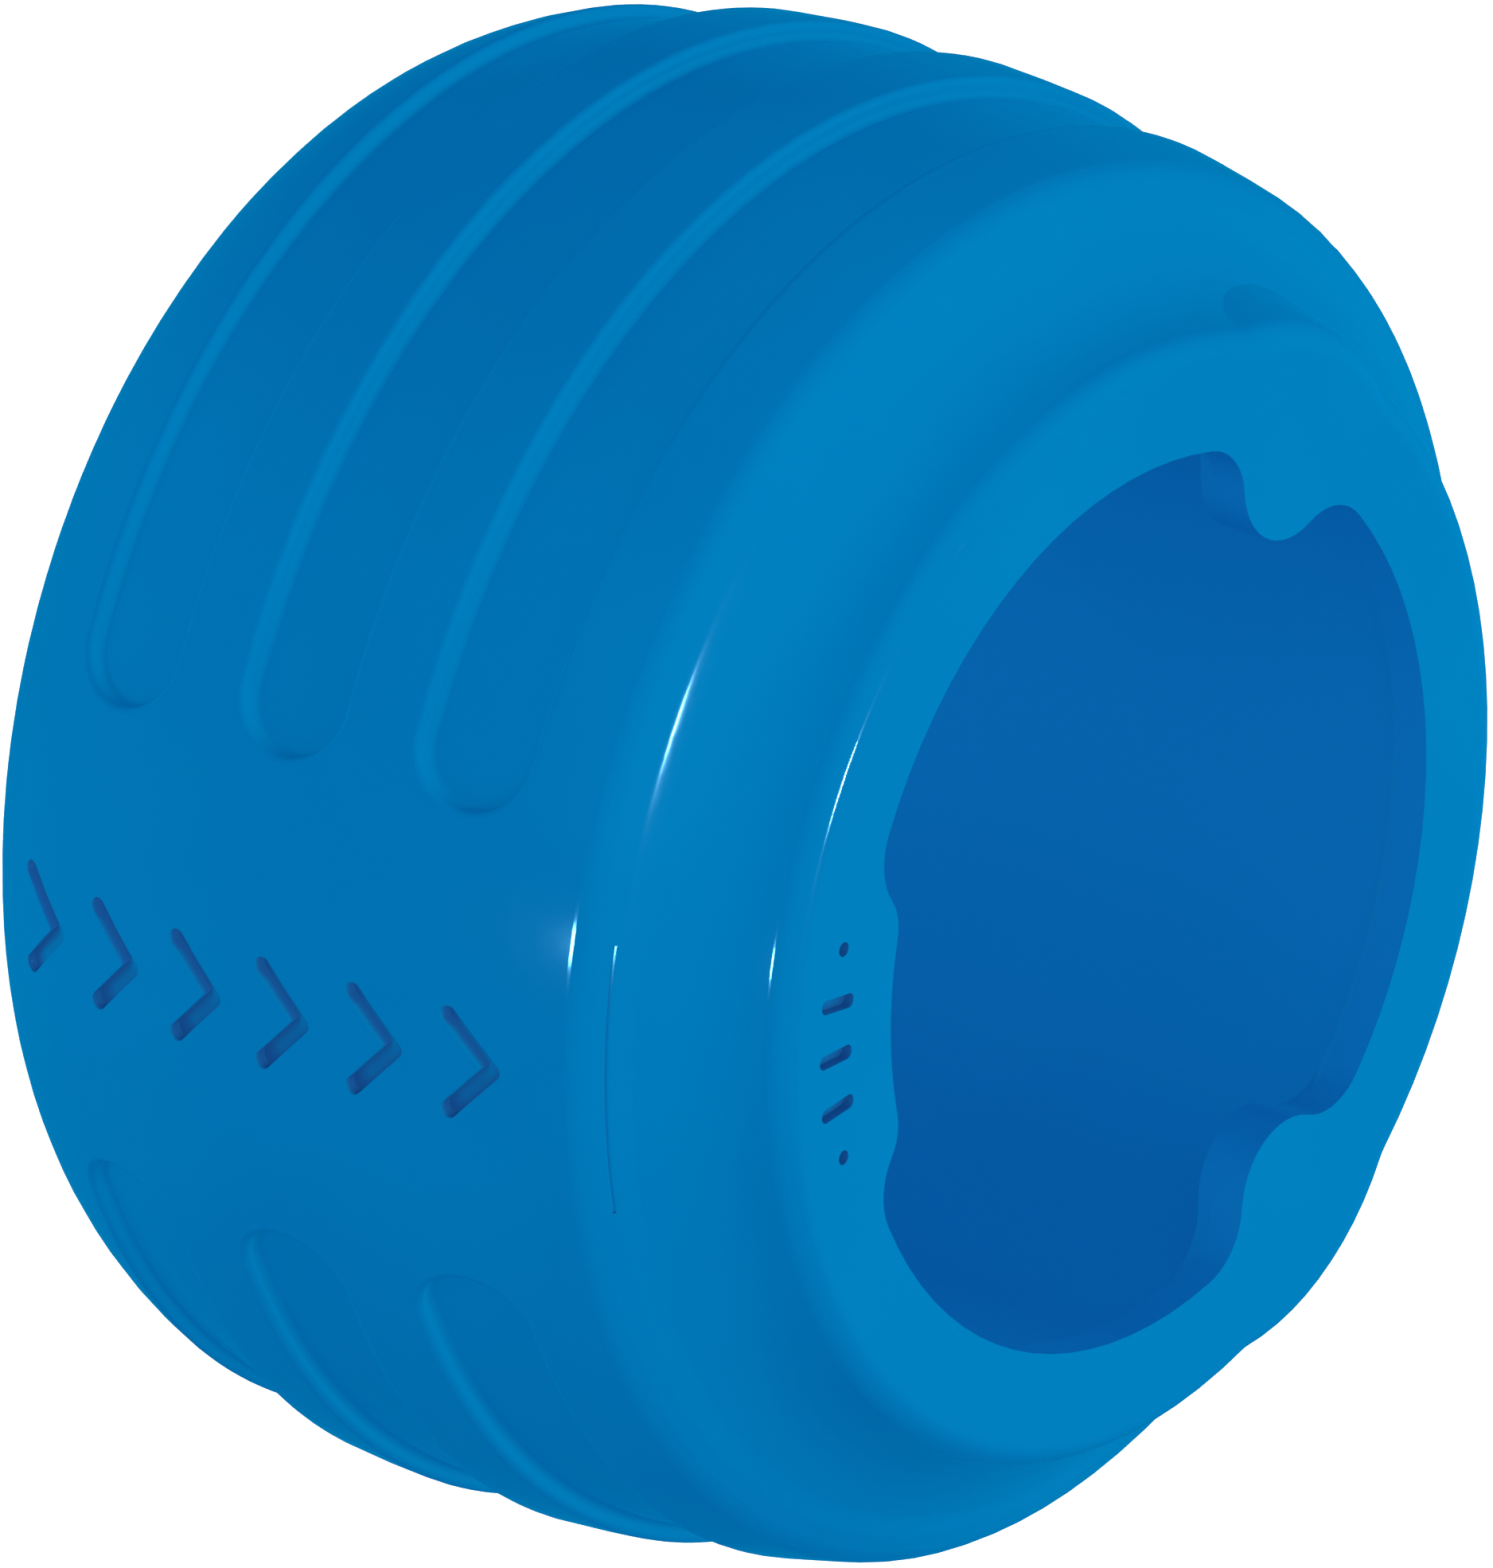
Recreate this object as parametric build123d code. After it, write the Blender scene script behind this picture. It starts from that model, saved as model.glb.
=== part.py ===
"""Cold-expansion pipe ring with a stop edge, moulded in one piece of cross-linked polyethylene.

The ring stands on its flat pipe-entry face: the bore's axis is +Z, the entry face is z = 0 and
the stop edge is at the top. The plain band across the grooves faces -Y. Millimetres.
"""
from build123d import *
from math import acos, atan2, cos, degrees, radians, sin, sqrt, tan
import os

# Bore and overall size
bore_radius = 8.25            # slips over a 16 mm pipe
ring_length = 16.8
entry_chamfer = 0.3

# Stop edge: a thin lip with three inward tabs, at the front end of the bore
lip_radius = 7.96
lip_thickness = 0.65          # at its edge; behind that it slopes back to the bore
tab_thickness = 0.95
tab_fillet = 1.2              # concave round between a tab and the lip
side_tab_reach = 6.575        # radius at the tip of the two narrow tabs
side_tab_round = 1.32
side_tab_angles = (31.5, 148.5)
band_tab_reach = 7.03         # radius of the wide tab's front
band_tab_round = 0.9
band_tab_spread = 13.35       # half angle between the wide tab's two rounded corners
band_angle = -90.0

# Front rim around the stop edge
rim_radius = 10.026           # at the foot of its wall
rim_slope = 75.0              # fall of its wall from the plane of the front face, degrees
rim_round = 0.51
rim_height = 1.6              # of the tapered rim, the lower part of it inside the cove
rim_lobe = 0.34               # how far the rim bulges out behind each narrow tab
rim_lobe_half_angle = 13.4
rim_lobe_blend = 0.15         # at the bottom of the rim, growing upwards with its taper

# Front slope: from the foot of the rim's wall a wide cove sweeps outwards and flares to a ridge
wall_drop = 0.41              # how far below the front face the rim's wall ends
cove_radius = 2.8
inner_slope = 29.0
flare_start = 11.42           # radius where the slope begins to flatten towards the ridge
flare_radius = 2.1
ridge_slope = 20.0
ridge_round = 0.7
outer_slope = 30.0
shoulder_round = 0.6
shoulder_bevel = 12.309       # radius where a sliver of bevel starts between round and crown
bevel_slope = 75.0

# Outer profile: rounded rear, crest and crown arc
crest_radius = 13.075
crest_height = 7.75           # the rear round ends here and the crown arc begins
rear_round_radial = 4.04
rear_fullness = 0.664         # share of each end's tangent that shapes the rear round
crown_arc_radius = 27.7

# Grip grooves round the barrel, all stopping at the plain band
groove_count = 3
groove_pitch = 3.713
groove_top_height = 11.43
groove_width = 2.12
groove_depth = 0.34
groove_round = 0.13
band_half_angle = 20.0

# Recessed arrows on the band, marks on the front face and a fine step just outside the ridge
arrow_count = 6
arrow_pitch = 1.9
arrow_mid_height = 7.4
arrow_length = 0.85
arrow_span = 1.75
arrow_stroke = 0.32
arrow_depth = 0.27
face_bar_angles = (-6.5, 0.0, 6.5)
face_dot_angles = (-13.0, 13.0)
face_mark_radius = 8.55
face_mark_length = 0.62
face_mark_stroke = 0.26
face_mark_depth = 0.2
step_half_angle = 12.0
step_radius = 11.84
step_width = 0.06
step_depth = 0.05
step_slope = 75.0             # fall of the step's inner wall

outside = crest_radius + 1.0  # clear of the ring all round


def polar(radius, angle):
    return Vector(radius * cos(radians(angle)), radius * sin(radians(angle)))


def heading(start, end):
    """Direction from one point to another, in degrees."""
    return degrees(atan2(end.Y - start.Y, end.X - start.X))


def arc(centre, radius, start, end, turn):
    """Arc about a centre from one heading to another, turning left (1) or right (-1)."""
    sweep = turn * ((turn * (end - start)) % 360.0)
    return CenterArc(centre, radius, start, sweep)


def stop_outline(radius):
    """Clear opening of the stop edge: a circle with the three tabs reaching inwards."""
    tabs = [
        (band_angle, band_tab_reach, band_tab_round, band_tab_spread),
        (side_tab_angles[0], side_tab_reach, side_tab_round, 0.0),
        (side_tab_angles[1], side_tab_reach, side_tab_round, 0.0),
    ]
    centre = Vector(0, 0)
    edges = []
    reach_angles = []
    for middle, reach, corner, spread in tabs:
        corner_distance = reach + corner
        fillet_distance = radius - tab_fillet
        between = corner + tab_fillet
        opening = degrees(acos(
            (corner_distance**2 + fillet_distance**2 - between**2)
            / (2 * corner_distance * fillet_distance)
        ))
        half = spread + opening
        first_fillet = polar(fillet_distance, middle - half)
        first_corner = polar(corner_distance, middle - spread)
        last_corner = polar(corner_distance, middle + spread)
        last_fillet = polar(fillet_distance, middle + half)
        edges.append(arc(
            first_fillet, tab_fillet, middle - half, heading(first_fillet, first_corner), 1))
        edges.append(arc(
            first_corner, corner, heading(first_corner, first_fillet), middle - spread + 180, -1))
        if spread:
            edges.append(arc(centre, reach, middle - spread, middle + spread, 1))
        edges.append(arc(
            last_corner, corner, middle + spread + 180, heading(last_corner, last_fillet), -1))
        edges.append(arc(
            last_fillet, tab_fillet, heading(last_fillet, last_corner), middle + half, 1))
        reach_angles.append((middle - half, middle + half))
    for index, (_, leaves) in enumerate(reach_angles):
        meets = reach_angles[(index + 1) % len(reach_angles)][0]
        edges.append(arc(centre, radius, leaves, meets, 1))
    return make_face(edges)


def crown_face(inset, top):
    """Half section of the barrel from the axis out to its crown, less an inset."""
    rear_flat = crest_radius - rear_round_radial
    crest = crest_radius - inset
    crown_radius = crown_arc_radius - inset
    crown_centre = crest_radius - crown_arc_radius
    rise = top - crest_height
    top_radius = crown_centre + sqrt(crown_radius**2 - rise**2)
    rear = Bezier(
        (rear_flat, 0),
        (rear_flat + rear_fullness * (crest - rear_flat), 0),
        (crest, crest_height * (1 - rear_fullness)),
        (crest, crest_height))
    crown = CenterArc(
        (crown_centre, crest_height), crown_radius, 0,
        degrees(atan2(rise, top_radius - crown_centre)))
    edges = [
        Line((0, 0), (rear_flat, 0)),
        rear,
        crown,
        Line((top_radius, top), (0, top)),
        Line((0, top), (0, 0)),
    ]
    return make_face(edges)


def slope_arc(start, radius, before, after):
    """Arc along which the outward fall of the surface changes, and the point where it ends."""
    side = radius if after < before else -radius
    centre = start + side * polar(1, 90 - before)
    middle = centre - side * polar(1, 90 - (before + after) / 2)
    end = centre - side * polar(1, 90 - after)
    return ThreePointArc(start, middle, end), end


def down_slope(start, slope, radius):
    """Point reached by falling outwards from a start to a radius."""
    return Vector(radius, start.Y - (radius - start.X) * tan(radians(slope)))


def front_slopes():
    """Section edges from the rim outwards to the ridge, and the point where they end."""
    wall_end = Vector(rim_radius, ring_length - wall_drop)
    cove, cove_end = slope_arc(wall_end, cove_radius, rim_slope, inner_slope)
    flare_foot = down_slope(cove_end, inner_slope, flare_start)
    flare, ridge = slope_arc(flare_foot, flare_radius, inner_slope, ridge_slope)
    ridge_arc, ridge_end = slope_arc(ridge, ridge_round, ridge_slope, outer_slope)
    return [cove, Line(cove_end, flare_foot), flare, ridge_arc], ridge_end


def in_front_of_slopes():
    """Half section of the space in front of the cove and the slopes."""
    edges, ridge_end = front_slopes()
    foot_height = ring_length - wall_drop
    bevel_start = down_slope(ridge_end, outer_slope, shoulder_bevel)
    corners = [
        ridge_end,
        bevel_start,
        down_slope(bevel_start, bevel_slope, outside),
        (outside, ring_length),
        (0, ring_length),
        (0, foot_height),
        (rim_radius, foot_height),
    ]
    return make_face(edges + [Line(*ends) for ends in zip(corners, corners[1:])])


def turned(section, sweep=360.0, start=0.0):
    """Solid of revolution of a half section about the bore's axis."""
    return Rot(0, 0, start) * revolve(Plane.XZ * section, Axis.Z, revolution_arc=sweep)


def outer_body():
    """Barrel with its rounded rear, crown, shoulder, front slopes and cove."""
    section = crown_face(0.0, ring_length) - in_front_of_slopes()
    shoulder = section.vertices().filter_by(
        lambda corner: abs(corner.X - shoulder_bevel) < 0.001 and corner.Y > crest_height)
    return turned(fillet(shoulder, shoulder_round))


def with_rim(body):
    """Add the raised rim round the stop edge, with a lobe behind each narrow tab."""
    radius = rim_radius + (rim_height - wall_drop) / tan(radians(rim_slope))
    half_width = radius * sin(radians(rim_lobe_half_angle))
    bulge = radius + rim_lobe - radius * cos(radians(rim_lobe_half_angle))
    lobe_radius = (half_width**2 + bulge**2) / (2 * bulge)
    outline = Circle(radius)
    for angle in side_tab_angles:
        outline += Pos(polar(radius + rim_lobe - lobe_radius, angle)) * Circle(lobe_radius)
    outline = fillet(outline.vertices(), rim_lobe_blend)
    rim = Pos(0, 0, ring_length - rim_height) * extrude(outline, rim_height, taper=90 - rim_slope)
    joined = body + rim
    return fillet(joined.faces().sort_by(Axis.Z)[-1].edges(), rim_round)


def groove_cutter(mid_height, core):
    """Stadium-ended groove round the barrel, with a rounded floor parallel to the crown."""
    end_radius = groove_width / 2
    end_angle = band_half_angle + degrees(end_radius / crest_radius)
    inner = bore_radius + 0.5
    strip = Pos((inner + outside) / 2, mid_height) * Rectangle(outside - inner, groove_width)
    prism = turned(strip, 360 - 2 * end_angle, band_angle + end_angle)
    post = Pos(inner, 0, mid_height) * Rot(0, 90, 0) * Cylinder(
        end_radius, outside - inner, align=(Align.CENTER, Align.CENTER, Align.MIN))
    for side in (-1, 1):
        prism += Rot(0, 0, band_angle + side * end_angle) * post
    cutter = prism - core
    return fillet(new_edges(prism, core, combined=cutter), groove_round)


def with_grooves(body):
    """Cut the grip grooves and round their rims."""
    core = turned(crown_face(groove_depth, ring_length))
    for index in range(groove_count):
        cutter = groove_cutter(groove_top_height - index * groove_pitch, core)
        cut = body - cutter
        body = fillet(new_edges(body, cutter, combined=cut), groove_round)
    return body


def bore():
    """All that is open through the ring: pipe bore, slope behind the lip, stop opening."""
    tab_back = ring_length - tab_thickness
    slope_height = tab_thickness - lip_thickness
    standing = (Align.CENTER, Align.CENTER, Align.MIN)
    hole = Cylinder(bore_radius, tab_back, align=standing)
    between_tabs = extrude(stop_outline(bore_radius), slope_height)
    between_tabs &= Cone(bore_radius, lip_radius, slope_height, align=standing)
    hole += Pos(0, 0, tab_back) * between_tabs
    hole += Pos(0, 0, ring_length - lip_thickness) * extrude(
        stop_outline(lip_radius), 2 * lip_thickness)
    return hole


def with_bore(body):
    """Open the ring and break the edge that the pipe enters by."""
    hollow = body - bore()
    mouth = hollow.edges().filter_by(GeomType.CIRCLE).filter_by_position(
        Axis.Z, 0, 0).filter_by(lambda edge: abs(edge.radius - bore_radius) < 0.01)
    return chamfer(mouth, entry_chamfer)


def band_arrows():
    """Recessed arrows up the band, pointing at the stop edge, with floors parallel to the crown."""
    limb = sqrt(arrow_length**2 + (arrow_span / 2) ** 2)
    slope = degrees(atan2(arrow_span / 2, arrow_length))
    arrow = Sketch()
    for side in (-1, 1):
        arrow += Pos(0, side * arrow_span / 4) * Rot(0, 0, -side * slope) * SlotCenterToCenter(
            limb, arrow_stroke)
    row = Sketch()
    for index in range(arrow_count):
        row += Pos((index - (arrow_count - 1) / 2) * arrow_pitch, 0) * arrow
    core = turned(crown_face(arrow_depth, ring_length))
    facing = Plane(origin=(0, -outside, arrow_mid_height), x_dir=(0, 0, 1), z_dir=(0, 1, 0))
    return extrude(facing * row, outside - bore_radius - 1.0) - core


def face_marks():
    """Row of recessed dots and bars on the front face, beside the band."""
    dot = Circle(face_mark_stroke / 2)
    bar = SlotCenterToCenter(face_mark_length, face_mark_stroke)
    marks = Sketch()
    for offset in face_dot_angles:
        marks += Pos(polar(face_mark_radius, band_angle + offset)) * dot
    for offset in face_bar_angles:
        angle = band_angle + offset
        marks += Pos(polar(face_mark_radius, angle)) * Rot(0, 0, angle) * bar
    return Pos(0, 0, ring_length - face_mark_depth) * extrude(marks, 2 * face_mark_depth)


def fine_step():
    """Narrow notch across the band's width, in the outer slope, with a leaning inner wall."""
    surface = down_slope(front_slopes()[-1], outer_slope, step_radius)
    lean = Vector(step_depth / tan(radians(step_slope)), -step_depth)
    across = Vector(step_width, 0)
    notch = make_face(Polyline(
        surface - lean, surface - lean + across, surface + lean + across, surface + lean,
        close=True))
    return turned(notch, 2 * step_half_angle, band_angle - step_half_angle)


def expansion_ring():
    ring = with_bore(with_grooves(with_rim(outer_body())))
    ring -= band_arrows()
    ring -= face_marks()
    ring -= fine_step()
    return ring.solid()


os.makedirs("parts", exist_ok=True)
export_step(expansion_ring(), "parts/expansion_ring.step")
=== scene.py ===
"""Looks for the pipe expansion ring: camera, light, floor and the moulded plastic."""
import math

import bpy
from mathutils import Matrix, Vector

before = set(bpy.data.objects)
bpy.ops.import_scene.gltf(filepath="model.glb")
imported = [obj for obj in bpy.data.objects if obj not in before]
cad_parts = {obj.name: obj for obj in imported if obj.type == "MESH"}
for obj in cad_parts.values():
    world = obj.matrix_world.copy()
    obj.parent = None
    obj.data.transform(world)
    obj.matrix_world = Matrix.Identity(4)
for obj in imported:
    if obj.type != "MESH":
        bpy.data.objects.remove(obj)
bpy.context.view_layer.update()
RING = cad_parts["expansion_ring"]

MM = 0.001
scene = bpy.context.scene
scene.view_settings.view_transform = "Standard"
scene.view_settings.look = "None"

# Camera: a very long lens, so that the ring is drawn almost without perspective.
LENS = 1500.0
SENSOR = 36.0
FRAME_HEIGHT = 26.79 * MM          # what the picture's long side covers at the ring
LOOK_AT = Vector((-1.86, -3.55, 10.97)) * MM
TOWARDS_CAMERA = Vector((-0.3901, -0.7260, 0.5664)).normalized()
IMAGE_UP = Vector((-0.9208, 0.3071, -0.2405)).normalized()

# The plastic's colour between its faint clouds and in them, and its painted shade in the recesses and
# on the bore walls
PLASTIC_DEEP = (0.0, 0.212, 0.535, 1.0)
PLASTIC_LIGHT = (0.0, 0.222, 0.55, 1.0)
# painted shade: darker colour deep in the narrow sunk marks, where their walls shade them
PAINTED_RECESS_SHADE = (0.01, 0.10, 0.38, 1.0)     # deep in the narrow sunk marks
# painted shade: the bore walls darker and bluer, standing in for their own reflections
PAINTED_BORE_SHADE = (0.003, 0.188, 0.553, 1.0)    # walls of the bore, deeper by their own reflections
BORE_REACH = 9.0 * MM                        # walls nearer the axis than this belong to the bore
UPRIGHT = 0.5                                # a wall's normal has less than this along the axis

# Surround light, bluer than the panels
SURROUND = (0.3, 0.3, 0.52)
REFLECTED = (0.0, 0.22, 0.48)      # what the gloss reflects of the surround

# Soft panels that model the form: azimuth, elevation, share of the light on a surface facing them
PANELS = (
    (0, 90, 0.38),
    (150, 60, 0.20),
    (120, 30, 0.24),
    (90, -30, 0.38),
    (45, 10, 0.25),
    (-120, 0, 0.22),
    (-90, -15, 0.24),
    (-60, -75, 0.24),
)
PANEL_COLOUR = (1.0, 1.0, 0.64)

# Small lamps that only draw the white highlights: name, direction, diameter, watts
LAMPS = (
    ("lamp_front", (0.08, 0.21, 0.975), 34 * MM, 1.2),
    ("lamp_low", (0.032, -0.995, -0.095), 36 * MM, 1.05),
)
LAMP_DISTANCE = 400 * MM

FLOOR_HALF = 0.6

# Noise in the plastic, as scale and detail, and the depth of its fine skin
CLOUDS = (180.0, 2.0)
GLOSS = (900.0, 3.0)
SKIN = (2500.0, 2.0)
SKIN_DEPTH = 0.004 * MM
SKIN_STRENGTH = 0.1
NOISE_SPAN = (0.3, 0.7)            # what nearly all of the noise lies between
ROUGHNESS = (0.07, 0.1)
SPECULAR = 0.25
SPECULAR_TINT = (0.15, 0.6, 1.0, 1.0)
RECESS_REACH = 0.4 * MM            # how near a facing wall has to be to shade a recess
RECESS_SPAN = (0.45, 0.68)         # occlusion with full shade, and with none


def add_camera():
    """Camera at the photograph's viewing angle and roll."""
    data = bpy.data.cameras.new("camera")
    data.lens = LENS
    data.sensor_width = SENSOR
    distance = FRAME_HEIGHT * LENS / SENSOR
    data.clip_start = 0.1 * distance
    data.clip_end = 3.0 * distance
    camera = bpy.data.objects.new("camera", data)
    scene.collection.objects.link(camera)
    right = IMAGE_UP.cross(TOWARDS_CAMERA).normalized()
    up = TOWARDS_CAMERA.cross(right)
    turn = Matrix((right, up, TOWARDS_CAMERA)).transposed()
    camera.matrix_world = Matrix.Translation(LOOK_AT + TOWARDS_CAMERA * distance) @ turn.to_4x4()
    scene.camera = camera


def add_floor():
    """Plain pale floor under the entry face, bright enough to print white, that shades nothing."""
    mesh = bpy.data.meshes.new("floor")
    corners = [(-1, -1), (1, -1), (1, 1), (-1, 1)]
    mesh.from_pydata([(x * FLOOR_HALF, y * FLOOR_HALF, 0) for x, y in corners], [], [(0, 1, 2, 3)])
    floor = bpy.data.objects.new("floor", mesh)
    scene.collection.objects.link(floor)
    material = bpy.data.materials.new("floor")
    material.use_nodes = True
    shader = material.node_tree.nodes["Principled BSDF"]
    shader.inputs["Base Color"].default_value = (0.95, 0.95, 0.95, 1)
    shader.inputs["Roughness"].default_value = 0.9
    shader.inputs["Specular IOR Level"].default_value = 0.0
    shader.inputs["Emission Color"].default_value = (1, 1, 1, 1)
    shader.inputs["Emission Strength"].default_value = 0.6
    mesh.materials.append(material)
    floor.visible_diffuse = False
    floor.visible_glossy = False
    floor.visible_shadow = False


def add_surround():
    """Even soft light from all round, with plain white behind the ring."""
    world = bpy.data.worlds.new("studio")
    scene.world = world
    world.use_nodes = True
    tree = world.node_tree
    ray = tree.nodes.new("ShaderNodeLightPath")
    shader = tree.nodes["Background"].outputs["Background"]
    tree.nodes["Background"].inputs["Color"].default_value = (*SURROUND, 1.0)
    for kind, colour in (("Is Glossy Ray", REFLECTED), ("Is Camera Ray", (1.0, 1.0, 1.0))):
        seen = tree.nodes.new("ShaderNodeBackground")
        seen.inputs["Color"].default_value = (*colour, 1.0)
        which = tree.nodes.new("ShaderNodeMixShader")
        tree.links.new(ray.outputs[kind], which.inputs["Fac"])
        tree.links.new(shader, which.inputs[1])
        tree.links.new(seen.outputs["Background"], which.inputs[2])
        shader = which.outputs["Shader"]
    tree.links.new(shader, tree.nodes["World Output"].inputs["Surface"])


def add_panel(azimuth, elevation, share):
    """Very large soft panel, far off, that throws no shadow and draws no highlight."""
    data = bpy.data.lights.new("panel", "SUN")
    data.energy = math.pi * share
    data.color = PANEL_COLOUR
    data.use_shadow = False
    panel = bpy.data.objects.new("panel", data)
    scene.collection.objects.link(panel)
    across, up = math.radians(azimuth), math.radians(elevation)
    towards = Vector((math.cos(up) * math.cos(across), math.cos(up) * math.sin(across), math.sin(up)))
    panel.rotation_mode = "QUATERNION"
    panel.rotation_quaternion = towards.to_track_quat("Z", "Y")
    panel.visible_glossy = False


def add_lamp(name, towards, size, power):
    """Small bright lamp that only draws highlights."""
    data = bpy.data.lights.new(name, "AREA")
    data.shape = "DISK"
    data.size = size
    data.energy = power
    lamp = bpy.data.objects.new(name, data)
    scene.collection.objects.link(lamp)
    direction = Vector(towards).normalized()
    lamp.location = LOOK_AT + direction * LAMP_DISTANCE
    lamp.rotation_mode = "QUATERNION"
    lamp.rotation_quaternion = direction.to_track_quat("Z", "Y")
    lamp.visible_camera = False
    lamp.visible_diffuse = False


def noise(tree, place, scale, detail):
    node = tree.nodes.new("ShaderNodeTexNoise")
    node.inputs["Scale"].default_value = scale
    node.inputs["Detail"].default_value = detail
    tree.links.new(place, node.inputs["Vector"])
    return node.outputs["Fac"]


def spread(tree, value, known, wanted):
    """A value's known range stretched over a wanted one."""
    node = tree.nodes.new("ShaderNodeMapRange")
    tree.links.new(value, node.inputs["Value"])
    node.inputs["From Min"].default_value, node.inputs["From Max"].default_value = known
    node.inputs["To Min"].default_value, node.inputs["To Max"].default_value = wanted
    return node.outputs["Result"]


def below(tree, value, limit):
    """1 where a value is below a limit, 0 elsewhere."""
    node = tree.nodes.new("ShaderNodeMath")
    node.operation = "LESS_THAN"
    tree.links.new(value, node.inputs[0])
    node.inputs[1].default_value = limit
    return node.outputs["Value"]


def blended(tree, factor, first, second):
    """Colour from the first to the second, each a fixed colour or another node's output."""
    node = tree.nodes.new("ShaderNodeMix")
    node.data_type = "RGBA"
    tree.links.new(factor, node.inputs["Factor"])
    for socket, colour in (("A", first), ("B", second)):
        if isinstance(colour, tuple):
            node.inputs[socket].default_value = colour
        else:
            tree.links.new(colour, node.inputs[socket])
    return node.outputs["Result"]


def painted_bore_shade_mask(tree, place, normal):
    """1 on the upright walls round the opening, which get the painted bore shade, 0 on the faces and
    outside.
    """
    across = tree.nodes.new("ShaderNodeVectorMath")
    across.operation = "MULTIPLY"
    tree.links.new(place, across.inputs[0])
    across.inputs[1].default_value = (1, 1, 0)
    radius = tree.nodes.new("ShaderNodeVectorMath")
    radius.operation = "LENGTH"
    tree.links.new(across.outputs["Vector"], radius.inputs[0])
    parts = tree.nodes.new("ShaderNodeSeparateXYZ")
    tree.links.new(normal, parts.inputs["Vector"])
    both = tree.nodes.new("ShaderNodeMath")
    both.operation = "MULTIPLY"
    tree.links.new(below(tree, radius.outputs["Value"], BORE_REACH), both.inputs[0])
    tree.links.new(below(tree, parts.outputs["Z"], UPRIGHT), both.inputs[1])
    return both.outputs["Value"]


def painted_shade_openness(tree):
    """0 deep in the narrow recesses, 1 on open surfaces: where the painted recess shade goes, found
    by ambient occlusion.
    """
    nearby = tree.nodes.new("ShaderNodeAmbientOcclusion")
    nearby.samples = 12
    nearby.inputs["Distance"].default_value = RECESS_REACH
    return spread(tree, nearby.outputs["AO"], RECESS_SPAN, (0.0, 1.0))


def plastic():
    """Glossy moulded polyethylene: faint clouds in the colour and the gloss, painted shade in the
    recesses and on the bore walls, a very fine skin.
    """
    material = bpy.data.materials.new("ring_plastic_gloss")
    material.use_nodes = True
    tree = material.node_tree
    shader = tree.nodes["Principled BSDF"]
    coordinates = tree.nodes.new("ShaderNodeTexCoord")
    place = coordinates.outputs["Object"]
    clouds = spread(tree, noise(tree, place, *CLOUDS), NOISE_SPAN, (0.0, 1.0))
    colour = blended(tree, clouds, PLASTIC_DEEP, PLASTIC_LIGHT)
    # painted shade on the bore walls, darker and bluer for their own reflections
    bore_shade_walls = painted_bore_shade_mask(tree, place, coordinates.outputs["Normal"])
    colour = blended(tree, bore_shade_walls, colour, PAINTED_BORE_SHADE)
    # painted shade darkens the narrow recesses
    colour = blended(tree, painted_shade_openness(tree), PAINTED_RECESS_SHADE, colour)
    tree.links.new(colour, shader.inputs["Base Color"])
    gloss = spread(tree, noise(tree, place, *GLOSS), NOISE_SPAN, ROUGHNESS)
    tree.links.new(gloss, shader.inputs["Roughness"])
    shader.inputs["Specular IOR Level"].default_value = SPECULAR
    shader.inputs["Specular Tint"].default_value = SPECULAR_TINT
    bump = tree.nodes.new("ShaderNodeBump")
    bump.inputs["Strength"].default_value = SKIN_STRENGTH
    bump.inputs["Distance"].default_value = SKIN_DEPTH
    tree.links.new(noise(tree, place, *SKIN), bump.inputs["Height"])
    tree.links.new(bump.outputs["Normal"], shader.inputs["Normal"])
    return material


add_camera()
add_floor()
add_surround()
for panel in PANELS:
    add_panel(*panel)
for lamp in LAMPS:
    add_lamp(*lamp)
RING.data.materials.clear()
RING.data.materials.append(plastic())
